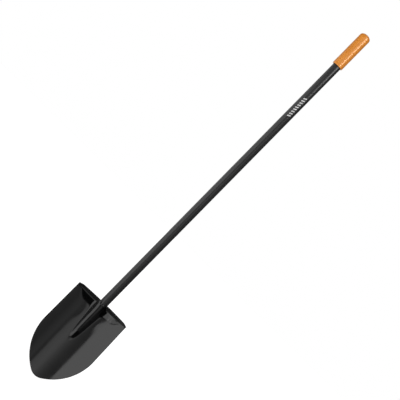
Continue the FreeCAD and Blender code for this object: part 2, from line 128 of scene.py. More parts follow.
def spaced(start, end, step):
    """Evenly spaced values from start up to, but not including, end."""
    count = max(1, round((end - start) / step))
    return [start + (end - start) * i / count for i in range(count)]


def blade_direction(x, s, n):
    """A direction given in the blade's own coordinates, in the row's frame."""
    y = s * math.sin(LIFT) - n * math.cos(LIFT)
    return Vector((x, y, s * math.cos(LIFT) + n * math.sin(LIFT)))


def blade_point(x, s, n):
    """A place given in the blade's own coordinates, in the row's frame."""
    return Vector((0, SHAFT_Y + FOLD_BEHIND_SHAFT, FOLD_Z)) + blade_direction(x, s, n)


# ---- the blade's middle surface ----
def tube_radius(down):
    """The tube's radius at a distance down from the fold. It narrows evenly over the swage."""
    share = (down - SWAGE_TOP) / (SWAGE_END - SWAGE_TOP)
    return TUBE_RADIUS + (SWAGE_RADIUS - TUBE_RADIUS) * min(max(share, 0.0), 1.0)


def dish(x, s):
    """The plain hollow, drawn in a little on both sides of the frog."""
    arc = DISH_RADIUS - math.sqrt(DISH_RADIUS**2 - x**2)
    curl = max(0.0, (-s - TIP_CURL_START) / (BLADE_LENGTH - TIP_CURL_START))
    away = ((abs(x) - DRAW_OUT) / DRAW_WIDTH) ** 2 + ((s + DRAW_DOWN) / DRAW_LENGTH) ** 2
    return arc + TIP_CURL * curl**2 - DRAW_DEPTH * math.exp(-away)


def lead(x, s):
    """Forward height that the sheet gains as it leans into the step's bend, straight on above the fold."""
    inward = smooth((BLADE_HALF_WIDTH - abs(x)) / LEAD_FADE)
    slope = LEAD_SLOPE * inward
    length = LEAD_LENGTH * (1 + 3 * inward) / 4
    share = max(0.0, s / length + 1)
    if share > 1:
        return slope * (length / 2 + s)
    return slope * length / 2 * share**2


def half_width(s):
    """The blade's outline: a long arc up each side of the point, then nearly straight sides."""
    if s >= WIDEST:
        return BLADE_HALF_WIDTH + (BLADE_TOP_HALF_WIDTH - BLADE_HALF_WIDTH) * (s - WIDEST) / -WIDEST
    return BLADE_HALF_WIDTH - SIDE_RADIUS + math.sqrt(SIDE_RADIUS**2 - (WIDEST - s) ** 2)


class FrogSection:
    """The frog's cross section: a round crown, sloping walls and a fillet into the sheet."""

    def __init__(self, s):
        """Works out the section's bends and walls at one place along the blade."""
        down = min(max(-s, -MOUTH_RISE), FROG_NOSE)
        past_nose = min(max((-s - FROG_NOSE) / FROG_RAMP, 0.0), 1.0)
        self.left = 1 - smooth(past_nose)
        self.squeeze = math.sqrt(1 - past_nose**2)
        crown_down = min(max(-s, -MOUTH_RISE), FROG_NOSE + FROG_RAMP)
        self.height = (FOLD_BEHIND_SHAFT - CROWN_Y - crown_down * math.sin(LIFT)) / math.cos(LIFT)
        spare = FROG_SPARE * smooth((down - SWAGE_TOP) / (SWAGE_END - SWAGE_TOP))
        self.crown = tube_radius(down) + FROG_GAP + SHEET / 2 + spare
        self.fillet = FROG_FILLET + FROG_SHOULDER * smooth(1 - down / FROG_SHOULDER_LENGTH)
        bends = self.crown + self.fillet
        wall = self.height - bends * (1 - math.cos(FROG_WALL_SLOPE))
        self.slope = FROG_WALL_SLOPE if wall > 0 else math.acos(1 - self.height / bends)
        self.crown_end = self.crown * math.sin(self.slope)
        self.wall_end = self.crown_end + max(wall, 0.0) / math.tan(FROG_WALL_SLOPE)
        self.foot = self.wall_end + self.fillet * math.sin(self.slope)

    def rise(self, away):
        """How far the frog stands off the pan, fading out along the ramp past its nose."""
        if away >= self.foot * self.squeeze:
            return 0.0
        return self.left * self.profile(away / self.squeeze)

    def profile(self, away):
        """The section's own height: crown, wall, then fillet."""
        if away <= self.crown_end:
            return self.height - self.crown + math.sqrt(self.crown**2 - away**2)
        if away <= self.wall_end:
            crown_edge = self.height - self.crown * (1 - math.cos(self.slope))
            return crown_edge - (away - self.crown_end) * math.tan(self.slope)
        return self.fillet - math.sqrt(self.fillet**2 - (self.foot - away) ** 2)


TOP_SECTION = FrogSection(0.0)


def sheet_height(x, s):
    """How far forward the sheet's middle lies at a place on the pan."""
    section = FrogSection(s)
    rise = section.rise(abs(x))
    if s < -LEAD_LENGTH:
        return dish(x, s) + rise
    return dish(x, s) + rise + lead(x, s) * (1 - rise / section.height)


def pan_place(u, v):
    """Where a grid point lies on the pan: u counts across the fold, and v along the blade.

    The lowest row follows the point's arc, and the columns follow the frog.
    """
    arc_share = POINT_HEIGHT * (1 - smooth((v + BLADE_LENGTH) / POINT_BLEND))
    width = half_width(v + arc_share)
    section = FrogSection(max(v, -FROG_NOSE))
    squeeze = min(1.0, width / half_width(-FROG_NOSE)) if v < -FROG_NOSE else 1.0
    crown_end = section.crown_end * squeeze
    foot = section.foot * squeeze
    size = abs(u)
    top = TOP_SECTION
    if size <= top.crown_end:
        x = crown_end * size / top.crown_end
    elif size <= top.foot:
        x = crown_end + (foot - crown_end) * (size - top.crown_end) / (top.foot - top.crown_end)
    else:
        x = foot + (width - foot) * (size - top.foot) / (BLADE_TOP_HALF_WIDTH - top.foot)
    on_arc = POINT_HALF_WIDTH * x / width
    s = v + arc_share * (POINT_RADIUS - math.sqrt(POINT_RADIUS**2 - on_arc**2)) / POINT_HEIGHT
    s -= STEP_DROP * (x / BLADE_HALF_WIDTH) ** 2 * smooth(1 + v / STEP_DROP_BLEND)
    return math.copysign(x, u), s


def step_point(x, v):
    """The sheet round the fold (v from 0 to 1) and along the step (1 to 2).

    Beside the frog the step stands up, and on the frog's crown it is straight. Its edge stays level up to
    the mouth.
    """
    up_frog = TOP_SECTION.rise(abs(x)) / TOP_SECTION.height
    lean = 1 - up_frog**STEP_ANGLE_FALL
    angle = max(STEP_ANGLE * lean, LEAST_ANGLE)
    arc = MOUTH_BEND + (STEP_BEND_RADIUS * STEP_ANGLE - MOUTH_BEND) * lean
    radius = arc / angle
    turned = angle * min(v, 1.0)
    out = (x / BLADE_HALF_WIDTH) ** 2
    s = radius * math.sin(turned) - STEP_DROP * out
    forward = radius * (1 - math.cos(turned))
    if v > 1:
        corner = STEP_CORNER_LOST * smooth((abs(x) - STEP_CORNER_START) / STEP_CORNER_SPAN)
        depth = (STEP_DEPTH - STEP_DEPTH_LOST * out) * (1 - corner)
        step_rise = STEP_BEND_RADIUS * math.sin(STEP_ANGLE) + depth * math.cos(STEP_ANGLE)
        climb = smooth((abs(x) - MOUTH_HALF_WIDTH) / MOUTH_SIDE)
        rise = MOUTH_RISE + (step_rise - MOUTH_RISE) * climb
        along = (v - 1) * (rise - radius * math.sin(angle)) / math.cos(angle)
        levelled = lead(0, 0) * (1 - out) - lead(x, 0)
        s += along * math.cos(angle)
        forward += along * math.sin(angle) + (v - 1) * levelled
    return blade_point(x, s, sheet_height(x, s) + forward)


def middle_and_normal(u, v):
    """A point of the sheet's middle and the unit normal there, towards the hollow face."""
    small = SLOPE_REACH
    if v <= 0:
        x, s = pan_place(u, v)
        slope_x = (sheet_height(x + small, s) - sheet_height(x - small, s)) / (2 * small)
        slope_s = (sheet_height(x, s + small) - sheet_height(x, s - small)) / (2 * small)
        normal = blade_direction(-slope_x, -slope_s, 1).normalized()
        return blade_point(x, s, sheet_height(x, s)), normal
    across = step_point(u + small, v) - step_point(u - small, v)
    up = step_point(u, v + SLOPE_SHARE) - step_point(u, v - SLOPE_SHARE)
    return step_point(u, v), across.cross(up).normalized()


# ---- mesh helpers ----
def add_mesh(name, points, faces, material):
    """A smooth-shaded object in the scene, from points and faces."""
    mesh = bpy.data.meshes.new(name)
    mesh.from_pydata([tuple(p) for p in points], [], faces)
    mesh.validate()
    mesh.polygons.foreach_set("use_smooth", [True] * len(mesh.polygons))
    mesh.materials.append(material)
    piece = bpy.data.objects.new(name, mesh)
    bpy.context.scene.collection.objects.link(piece)
    return piece


def rings_mesh(name, rings, material, lid_only=False):
    """A skin over rings of equally many points, closed by a fan at each end, or by one lid at the last."""
    count = len(rings[0])
    points = [p for ring in rings for p in ring]
    faces = []
    for row in range(len(rings) - 1):
        for i in range(count):
            j = (i + 1) % count
            here, above = row * count, (row + 1) * count
            faces.append((here + i, here + j, above + j, above + i))
    if lid_only:
        lid = len(points) - count
        faces.append(tuple(range(lid, lid + count)))
        return add_mesh(name, points, faces, material)
    for row, ring in ((0, rings[0]), (len(rings) - 1, rings[-1])):
        centre = len(points)
        points.append(sum(ring, Vector()) / count)
        for i in range(count):
            a, b = row * count + i, row * count + (i + 1) % count
            faces.append((centre, b, a) if row == 0 else (centre, a, b))
    return add_mesh(name, points, faces, material)


def circle(centre, radius, count, right=Vector((1, 0, 0)), up=Vector((0, 1, 0))):
    """Points evenly round a circle, which lies level unless told otherwise."""
    ring = []
    for i in range(count):
        angle = 2 * math.pi * i / count
        ring.append(centre + right * (radius * math.cos(angle)) + up * (radius * math.sin(angle)))
    return ring


# ---- materials ----
NOISE_SPAN = (0.3, 0.7)


def material_with_nodes(name):
    """A new material, its node tree, its shader and its coordinates."""
    material = bpy.data.materials.new(name)
    material.use_nodes = True
    tree = material.node_tree
    shader = tree.nodes["Principled BSDF"]
    coordinates = tree.nodes.new("ShaderNodeTexCoord")
    return material, tree, shader, coordinates


def noise(tree, coordinates, scale, detail, stretch=(1, 1, 1), roughness=0.5):
    """Noise fixed to the piece itself. The scale is roughly its number of blotches to the metre."""
    mapping = tree.nodes.new("ShaderNodeMapping")
    mapping.inputs["Scale"].default_value = stretch
    tree.links.new(coordinates.outputs["Object"], mapping.inputs["Vector"])
    node = tree.nodes.new("ShaderNodeTexNoise")
    node.inputs["Scale"].default_value = scale
    node.inputs["Detail"].default_value = detail
    node.inputs["Roughness"].default_value = roughness
    tree.links.new(mapping.outputs["Vector"], node.inputs["Vector"])
    return node.outputs["Fac"]


def mapped(tree, value, low, high):
    """A noise's usual span stretched to run from low to high."""
    node = tree.nodes.new("ShaderNodeMapRange")
    start, end = NOISE_SPAN
    for socket, number in (("From Min", start), ("From Max", end), ("To Min", low), ("To Max", high)):
        node.inputs[socket].default_value = number
    tree.links.new(value, node.inputs["Value"])
    return node.outputs["Result"]


def ramp(tree, value, stops):
    """A colour for each value, blended between (value, colour) stops."""
    node = tree.nodes.new("ShaderNodeValToRGB")
    elements = node.color_ramp.elements
    while len(elements) < len(stops):
        elements.new(0.5)
    for element, (position, colour) in zip(elements, stops):
        element.position = position
        element.color = (*colour, 1)
    tree.links.new(value, node.inputs["Fac"])
    return node.outputs["Color"]


def bump(tree, height, distance, strength, under=None):
    """A normal that rises and falls with height, over an earlier bump if one is given."""
    node = tree.nodes.new("ShaderNodeBump")
    node.inputs["Strength"].default_value = strength
    node.inputs["Distance"].default_value = distance
    tree.links.new(height, node.inputs["Height"])
    if under is not None:
        tree.links.new(under, node.inputs["Normal"])
    return node.outputs["Normal"]


def wire(tree, shader, colour, roughness, normal=None):
    """Joins a material's colour, roughness and normal to its shader."""
    for socket, source in (("Base Color", colour), ("Roughness", roughness), ("Normal", normal)):
        if source is not None:
            tree.links.new(source, shader.inputs[socket])


def blade_paint():
    """Gloss black coating: orange peel, long faint drawing lines and a little haze."""
    material, tree, shader, where = material_with_nodes("blade_gloss_black")
    cloud = noise(tree, where, scale=26, detail=4)
    colour = ramp(tree, cloud, [(0.3, (0.0025, 0.0025, 0.0027)), (0.7, (0.004, 0.004, 0.0042))])
    roughness = mapped(tree, cloud, 0.09, 0.15)
    lines = noise(tree, where, scale=95, detail=3, stretch=(1, 1, 0.035))
    peel = noise(tree, where, scale=420, detail=2)
    drawn = bump(tree, lines, distance=0.05 * MM, strength=0.5)
    normal = bump(tree, peel, distance=0.012 * MM, strength=0.6, under=drawn)
    wire(tree, shader, colour, roughness, normal)
    return material


def shaft_paint():
    """Satin black powder coat with its fine grain."""
    material, tree, shader, where = material_with_nodes("shaft_satin_black")
    cloud = noise(tree, where, scale=40, detail=4)
    grain = noise(tree, where, scale=900, detail=4, roughness=0.7)
    shader.inputs["Specular IOR Level"].default_value = 0.42
    colour = ramp(tree, grain, [(0.3, (0.009, 0.009, 0.0093)), (0.7, (0.017, 0.017, 0.0175))])
    roughness = mapped(tree, cloud, 0.24, 0.32)
    normal = bump(tree, grain, distance=0.012 * MM, strength=0.6)
    wire(tree, shader, colour, roughness, normal)
    return material


def grip_plastic():
    """Moulded orange plastic: slight mottling and a fine spark-eroded texture."""
    material, tree, shader, where = material_with_nodes("grip_orange_plastic")
    cloud = noise(tree, where, scale=55, detail=4)
    grain = noise(tree, where, scale=1300, detail=3)
    colour = ramp(tree, cloud, [(0.3, (0.82, 0.262, 0.013)), (0.7, (0.89, 0.30, 0.018))])
    roughness = mapped(tree, cloud, 0.27, 0.33)
    shader.inputs["IOR"].default_value = 1.66
    shader.inputs["Specular Tint"].default_value = (1.0, 0.94, 0.74, 1.0)
    normal = bump(tree, grain, distance=0.006 * MM, strength=0.5)
    wire(tree, shader, colour, roughness, normal)
    return material


def plug_plastic():
    """Dull black plastic with a coarse grain."""
    material, tree, shader, where = material_with_nodes("plug_black_plastic")
    grain = noise(tree, where, scale=900, detail=3)
    colour = ramp(tree, grain, [(0.3, (0.02, 0.02, 0.021)), (0.7, (0.035, 0.035, 0.036))])
    roughness = mapped(tree, grain, 0.5, 0.65)
    normal = bump(tree, grain, distance=0.05 * MM, strength=0.5)
    wire(tree, shader, colour, roughness, normal)
    return material


def weld_paint():
    """The blade's coating over a weld: lumpier and a little duller."""
    material, tree, shader, where = material_with_nodes("weld_black_coating")
    lumps = noise(tree, where, scale=380, detail=3)
    colour = ramp(tree, lumps, [(0.3, (0.0025, 0.0025, 0.0027)), (0.7, (0.005, 0.005, 0.0052))])
    roughness = mapped(tree, lumps, 0.16, 0.3)
    normal = bump(tree, lumps, distance=0.2 * MM, strength=0.5)
    wire(tree, shader, colour, roughness, normal)
    return material


def print_paint():
    """Screen-printed white, a little thin in places."""
    material, tree, shader, where = material_with_nodes("print_white")
    cloud = noise(tree, where, scale=500, detail=4)
    colour = ramp(tree, cloud, [(0.3, (0.62, 0.62, 0.61)), (0.6, (0.84, 0.84, 0.83))])
    roughness = mapped(tree, cloud, 0.4, 0.5)
    wire(tree, shader, colour, roughness)
    return material


# ---- the blade ----
CROWN_STEP = 0.9 * MM               # spacing of the columns over the frog's crown, its walls and the pan
WALL_STEP = 0.8 * MM
PAN_STEP = 2 * MM
RAMP_STEP = 1 * MM                  # spacing of the rows where the frog runs out, and just above that
FINE_ABOVE_NOSE = 8 * MM
POINT_ROWS = 80                     # rows in the point, closer together towards the tip by this power
POINT_CROWDING = 1.5
FOLD_SHARE = 0.07                   # share of a turn round the fold, and of the step's height, between rows
STEP_SHARE = 0.08
RIM_ROUND = 0.55 * MM               # how far the sheet's rounded edge bulges
RIM_STEPS = 5


def blade_grid():
    """Columns across the fold and rows from the tip to the step's edge, closer where the sheet bends."""
    top = TOP_SECTION
    half = spaced(0.0, top.crown_end, CROWN_STEP) + spaced(top.crown_end, top.foot, WALL_STEP)
    half += spaced(top.foot, BLADE_TOP_HALF_WIDTH, PAN_STEP) + [BLADE_TOP_HALF_WIDTH]
    across = [-x for x in reversed(half[1:])] + half
    ramp_top = FINE_ABOVE_NOSE - FROG_NOSE
    ramp_end = -(FROG_NOSE + FROG_RAMP)
    shares = [(i / POINT_ROWS) ** POINT_CROWDING for i in range(POINT_ROWS)]
    along = [-BLADE_LENGTH + (ramp_end + BLADE_LENGTH) * share for share in shares]
    along += spaced(ramp_end, ramp_top, RAMP_STEP) + spaced(ramp_top, 0.0, PAN_STEP)
    along += spaced(0.0, 1.0, FOLD_SHARE) + spaced(1.0, 2.0, STEP_SHARE) + [2.0]
    return across, along


def border(columns, rows):
    """The grid's border as (column, row) pairs, once round, counter-clockwise from the front."""
    lower = [(i, 0) for i in range(columns)]
    right = [(columns - 1, j) for j in range(1, rows)]
    upper = [(i, rows - 1) for i in range(columns - 2, -1, -1)]
    left = [(0, j) for j in range(rows - 2, 0, -1)]
    return lower + right + upper + left


def rim_directions(middles, rim):
    """The direction out of the sheet, in its own plane, at each place round the border."""
    outward = {}
    for k, (i, j) in enumerate(rim):
        before, after = rim[k - 1], rim[(k + 1) % len(rim)]
        tangent = middles[after[0]][after[1]][0] - middles[before[0]][before[1]][0]
        outward[(i, j)] = tangent.cross(middles[i][j][1]).normalized()
    return outward


def face_points(middles, outward, side):
    """The grid's points on one face of the sheet: 1 is the hollow face, and -1 is the back."""
    points = []
    for i, column in enumerate(middles):
        for j, (middle, normal) in enumerate(column):
            point = middle + normal * (side * SHEET / 2)
            if (i, j) in outward:
                point -= outward[(i, j)] * RIM_ROUND
            points.append(point)
    return points


def face_quads(columns, rows, first, side):
    """The faces over one side's grid of points, turned to look outwards."""
    quads = []
    for i in range(columns - 1):
        for j in range(rows - 1):
            a = first + i * rows + j
            quad = (a, a + rows, a + rows + 1, a + 1)
            quads.append(quad if side == 1 else quad[::-1])
    return quads


def rim_points(middles, outward, rim, angle):
    """One ring of the rounded rim, at an angle from the edge's middle towards the hollow face."""
    points = []
    for place in rim:
        middle, normal = middles[place[0]][place[1]]
        lift = normal * (SHEET / 2 * math.sin(angle))
        points.append(middle + lift + outward[place] * (RIM_ROUND * (math.cos(angle) - 1)))
    return points


def make_blade(material):
    """Both faces of the sheet over one dense grid, joined by a rounded rim."""
    across, along = blade_grid()
    columns, rows = len(across), len(along)
    middles = [[middle_and_normal(u, v) for v in along] for u in across]
    rim = border(columns, rows)
    outward = rim_directions(middles, rim)
    back = columns * rows
    points = face_points(middles, outward, 1) + face_points(middles, outward, -1)
    faces = face_quads(columns, rows, 0, 1) + face_quads(columns, rows, back, -1)
    rings = [[i * rows + j for i, j in rim]]
    for step in range(1, RIM_STEPS):
        rings.append(list(range(len(points), len(points) + len(rim))))
        points += rim_points(middles, outward, rim, math.pi * (0.5 - step / RIM_STEPS))
    rings.append([back + i * rows + j for i, j in rim])
    for one, other in zip(rings, rings[1:]):
        for k in range(len(rim)):
            following = (k + 1) % len(rim)
            faces.append((one[k], other[k], other[following], one[following]))
    piece = add_mesh("blade_sheet", points, faces, material)
    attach(piece, ROOT)
    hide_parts("blade")


# ---- the shaft ----
TUBE_SIDES = 96
TUBE_STEP = 25 * MM
SWAGE_STEP = 5 * MM
SWAGE_LEAD = 6 * MM                 # how far above the swage its closer rings start
NOSE_STEPS = 8
NOSE_SHARE = 0.98                   # share of the nose's length that the skin takes, to stay inside the solid


def make_shaft(material):
    """The tube, with its swaged and rounded lower end, whose front line stays straight."""
    stations = []
    for i in range(1, NOSE_STEPS + 1):
        angle = math.pi / 2 * i / NOSE_STEPS
        down = SWAGE_END + TUBE_NOSE * (1 - math.sin(angle)) * NOSE_SHARE
        edge_radius = TUBE_NOSE_RADIUS + (SWAGE_RADIUS - TUBE_NOSE_RADIUS) * math.sin(angle)
        stations.append((down, edge_radius))
    swage = spaced(SWAGE_TOP - SWAGE_LEAD, SWAGE_END, SWAGE_STEP)
    stations += [(down, tube_radius(down)) for down in reversed(swage)]
    rings = []
    for down, radius in stations:
        centre = Vector((0, SHAFT_Y + radius - TUBE_RADIUS, FOLD_Z - down * math.cos(LIFT)))
        rings.append(circle(centre, radius, TUBE_SIDES))
    start = FOLD_Z - (SWAGE_TOP - 2 * SWAGE_LEAD) * math.cos(LIFT)
    for z in spaced(start, tube_top, TUBE_STEP) + [tube_top]:
        rings.append(circle(Vector((0, SHAFT_Y, z)), TUBE_RADIUS, TUBE_SIDES))
    piece = rings_mesh("shaft_tube_skin", rings, material)
    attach(piece, ROOT)
    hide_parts("shaft_tube")


# ---- the printed ticks ----
TICK_COUNT = 9
TICK_LENGTH = 4.6 * MM              # along the shaft
TICK_PITCH = 8.9 * MM
TICK_MIDDLE_Z = 1147 * MM
TICK_HALF_TURN = math.radians(20)   # how far round the shaft a tick reaches to each side
TICK_SLANT = 2.4 * MM               # how far its ends rise and fall along the shaft
TICK_STEPS = 10
TICK_LIFT = 0.04 * MM               # how far the print stands off the tube


def tick_points(base_z):
    """Two curved layers of points, one just under the tube's skin and one just over it."""
    points = []
    for radius in (TUBE_RADIUS - TICK_LIFT, TUBE_RADIUS + TICK_LIFT):
        for i in range(TICK_STEPS + 1):
            share = 2 * i / TICK_STEPS - 1
            angle = TICK_HALF_TURN * share
            x = radius * math.sin(angle)
            y = SHAFT_Y - radius * math.cos(angle)
            for end in (-1, 1):
                points.append(Vector((x, y, base_z + TICK_SLANT * share + end * TICK_LENGTH / 2)))
    return points


def tick_faces():
    """The closed skin over a tick's two layers of points."""
    layer = 2 * (TICK_STEPS + 1)
    last = 2 * TICK_STEPS
    faces = []
    for a in range(0, last, 2):
        faces.append((a, a + 1, a + 3, a + 2))
        faces.append((layer + a, layer + a + 2, layer + a + 3, layer + a + 1))
        faces.append((a, a + 2, layer + a + 2, layer + a))
        faces.append((a + 1, layer + a + 1, layer + a + 3, a + 3))
    faces.append((0, layer, layer + 1, 1))
    faces.append((last, last + 1, layer + last + 1, layer + last))
    return faces


def make_print(material):
    """A generic printed mark on the shaft's front: a row of slanted white ticks."""
    for number in range(TICK_COUNT):
        base_z = TICK_MIDDLE_Z + (number - (TICK_COUNT - 1) / 2) * TICK_PITCH
        piece = add_mesh(f"print_tick_{number + 1}", tick_points(base_z), tick_faces(), material)
        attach(piece, ROOT)


# ---- the grip ----
GRIP_SIDES = 144
GRIP_STEP = 8 * MM
GRIP_RIM_STEPS = 6
GRIP_CORNER_STEPS = 12
GRIP_CROWN_STEPS = 10
SEAM_HEIGHT = 0.12 * MM             # the parting lines' height, and the radius outside which they run
SEAM_OUTSIDE = TUBE_RADIUS + 2 * MM
# The mouth's inner edge: how far out from the bore, and how far up from the rim.
GRIP_MOUTH = [(0, 6 * MM), (0, 1 * MM), (0.4 * MM, 0.3 * MM), (1 * MM, 0)]


def grip_profile():
    """Radius and height up the grip, from inside its mouth to the middle of the dome."""
    bottom = grip_low.z
    bore = TUBE_RADIUS + GRIP_GAP
    profile = [(bore + out, bottom + up) for out, up in GRIP_MOUTH]
    for i in range(GRIP_RIM_STEPS + 1):
        angle = math.pi / 2 * i / GRIP_RIM_STEPS
        radius = GRIP_RADIUS - GRIP_RIM * (1 - math.sin(angle))
        profile.append((radius, bottom + GRIP_RIM - GRIP_RIM * math.cos(angle)))
    crown_z = grip_high.z - GRIP_CROWN
    corner_r = GRIP_RADIUS - GRIP_CORNER
    corner_z = crown_z + math.sqrt((GRIP_CROWN - GRIP_CORNER) ** 2 - corner_r**2)
    lean = math.atan2(corner_r, corner_z - crown_z)
    for z in spaced(bottom + 2 * GRIP_RIM, corner_z, GRIP_STEP):
        profile.append((GRIP_RADIUS, z))
    for i in range(GRIP_CORNER_STEPS + 1):
        angle = math.pi / 2 + (lean - math.pi / 2) * i / GRIP_CORNER_STEPS
        radius = corner_r + GRIP_CORNER * math.sin(angle)
        profile.append((radius, corner_z + GRIP_CORNER * math.cos(angle)))
    for i in range(1, GRIP_CROWN_STEPS):
        angle = lean * (1 - i / GRIP_CROWN_STEPS)
        profile.append((GRIP_CROWN * math.sin(angle), crown_z + GRIP_CROWN * math.cos(angle)))
    return profile


def make_grip(material):
    """The grip, with a fine parting line down each side."""
    rings = []
    for radius, z in grip_profile():
        ring = circle(Vector((0, SHAFT_Y, z)), radius - SEAM_HEIGHT, GRIP_SIDES)
        if radius > SEAM_OUTSIDE:
            for i in (0, GRIP_SIDES // 2):
                ring[i].x += math.copysign(SEAM_HEIGHT, ring[i].x)
        rings.append(ring)
    piece = rings_mesh("grip_sleeve_skin", rings, material, lid_only=True)
    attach(piece, ROOT)
    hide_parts("grip_sleeve")


# ---- welds ----
BEAD_SIDES = 20
BEAD_LEAN = 0.93                    # a bead's share of its radius between ripples, and what each ripple adds
BEAD_SWELL = 0.09
BEAD_END_SHARE = 0.02               # keeps the last ring of a bead from closing up
BACK_WELD_TOP = 16 * MM             # the back welds' ends, below the fold
BACK_WELD_END = 90 * MM
BACK_WELD_REACH = 2.3 * MM          # how far the bead's centre lies from each of the faces it joins
BACK_WELD_RADIUS = 3 * MM
BACK_WELD_RIPPLE = 4.2 * MM
BACK_WELD_SPANS = 12
BACK_WELD_STEP = 0.5 * MM
SEARCH_STEP = 0.5 * MM              # fineness and width of the search for the sheet beside the tube
SEARCH_COUNT = 100
SEARCH_DEGREES = (40, 150)          # directions round the tube that it tries, from behind
TOE_WELD_BELOW_TUBE = 2.5 * MM      # the bead's line, below the tube's closed end
TOE_WELD_BEHIND_SHEET = 3.4 * MM
TOE_WELD_HALF_WIDTH = 8 * MM
TOE_WELD_RADIUS = 4 * MM
TOE_WELD_RIPPLE = 4 * MM
TOE_WELD_STEP = 0.4 * MM
MOUTH_WELD_RAISED = 0.6 * MM        # the bead's line, above the crown's edge
MOUTH_WELD_HALF_TURN = math.radians(24)
MOUTH_WELD_SPANS = 80
MOUTH_WELD_RADIUS = 2 * MM
MOUTH_WELD_RIPPLE = 3 * MM


def back_weld_centre(down):
    """Where a bead lies in the corner between the tube and the back of the sheet."""
    radius = tube_radius(down)
    tube_n = (FOLD_BEHIND_SHAFT - down * math.sin(LIFT) + TUBE_RADIUS - radius) / math.cos(LIFT)
    reach = radius + BACK_WELD_REACH
    touching = BACK_WELD_REACH + SHEET / 2
    sides = [i * SEARCH_STEP for i in range(SEARCH_COUNT)]
    sheet = [(side, sheet_height(side, -down)) for side in sides]
    for degrees in range(*SEARCH_DEGREES):
        x = reach * math.sin(math.radians(degrees))
        n = tube_n - reach * math.cos(math.radians(degrees))
        if min(math.hypot(x - side, n - height) for side, height in sheet) < touching:
            break
    return x, -down, n


def bead(node, path, radius, ripple, material):
    """A weld bead along a path, with rounded ends and the ripples of its puddles."""
    length = sum((b - a).length for a, b in zip(path, path[1:]))
    rings = []
    travelled = 0.0
    for k, point in enumerate(path):
        if k:
            travelled += (point - path[k - 1]).length
        tangent = (path[min(k + 1, len(path) - 1)] - path[max(k - 1, 0)]).normalized()
        right = tangent.cross(Vector((0, 1, 0))).normalized()
        up = right.cross(tangent)
        phase = (travelled / ripple) % 1.0
        size = radius * (BEAD_LEAN + BEAD_SWELL * math.sin(math.pi * phase))
        from_end = min(travelled, length - travelled)
        if from_end < radius:
            size *= math.sqrt(max(1 - (1 - from_end / radius) ** 2, BEAD_END_SHARE))
        rings.append(circle(point, size, BEAD_SIDES, right, up))
    piece = rings_mesh(f"{node}_bead", rings, material)
    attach(piece, ROOT)
    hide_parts(node)


def resampled(points, step):
    """Points at even steps along straight runs between the given ones."""
    path = []
    for a, b in zip(points, points[1:]):
        count = max(1, round((b - a).length / step))
        path += [a.lerp(b, i / count) for i in range(count)]
    return path + [points[-1]]


def make_back_welds(material):
    """The beads along both sides of the tube, behind the blade."""
    run = BACK_WELD_END - BACK_WELD_TOP
    downs = [BACK_WELD_TOP + run * i / BACK_WELD_SPANS for i in range(BACK_WELD_SPANS + 1)]
    places = [back_weld_centre(down) for down in downs]
    for node, side in (("weld_back_left", 1), ("weld_back_right", -1)):
        path = resampled([blade_point(side * x, s, n) for x, s, n in places], BACK_WELD_STEP)
        bead(node, path, BACK_WELD_RADIUS, BACK_WELD_RIPPLE, material)


def make_toe_weld(material):
    """The bead across the tube's closed lower end."""
    down = SWAGE_END + TUBE_NOSE + TOE_WELD_BELOW_TUBE
    n = sheet_height(0, -down) - SHEET / 2 - TOE_WELD_BEHIND_SHEET
    ends = [blade_point(side * TOE_WELD_HALF_WIDTH, -down, n) for side in (-1, 1)]
    bead("weld_toe", resampled(ends, TOE_WELD_STEP), TOE_WELD_RADIUS, TOE_WELD_RIPPLE, material)


def make_mouth_weld(material):
    """The bead over the frog's top edge, round the front of the tube."""
    axis_n = (FOLD_BEHIND_SHAFT + MOUTH_RISE * math.sin(LIFT)) / math.cos(LIFT)
    centre = blade_point(0, MOUTH_RISE + MOUTH_WELD_RAISED, axis_n)
    ring = TUBE_RADIUS + FROG_GAP + SHEET / 2
    path = []
    for i in range(MOUTH_WELD_SPANS + 1):
        angle = MOUTH_WELD_HALF_TURN * (2 * i / MOUTH_WELD_SPANS - 1)
        path.append(centre + blade_direction(ring * math.sin(angle), 0, ring * math.cos(angle)))
    bead("weld_mouth", path, MOUTH_WELD_RADIUS, MOUTH_WELD_RIPPLE, material)


# ---- stage, light and camera ----
FLOOR_SIZE = 14.0


def make_floor():
    """A plain pale floor for the camera alone: the object gets no reflection, light or shade from it."""
    material, _, shader, _ = material_with_nodes("stage_floor")
    shader.inputs["Base Color"].default_value = (0.85, 0.85, 0.85, 1)
    shader.inputs["Roughness"].default_value = 0.9
    shader.inputs["Emission Color"].default_value = (1, 1, 1, 1)
    shader.inputs["Emission Strength"].default_value = 0.75
    signs = [(-1, -1), (1, -1), (1, 1), (-1, 1)]
    corners = [Vector((x * FLOOR_SIZE, y * FLOOR_SIZE, 0)) for x, y in signs]
    floor = add_mesh("stage_floor", corners, [(0, 1, 2, 3)], material)
    floor.visible_glossy = False
    floor.visible_diffuse = False
    floor.visible_shadow = False


# What paint mirrors at each direction round the shaft, in degrees: 0 is in front, and positive to the right.
STUDIO_WALL = [
    (-180, 1.1), (-160, 0.7), (-140, 0.12), (-130, 0.06), (-24, 0.30), (-14, 0.38), (-9, 0.45), (-5, 0.54),
    (-1, 0.67), (3, 0.79), (8, 1.05), (13, 1.17), (20, 1.09), (27.5, 1.0), (29.5, 0.3), (33, 0.36),
    (37, 0.54), (46, 0.46), (54, 0.32), (64, 0.34), (72, 0.4), (95, 0.3), (110, 0.05), (140, 0.12),
    (160, 0.7), (180, 1.1),
]
WALL_TOP_LEVEL = 1.25
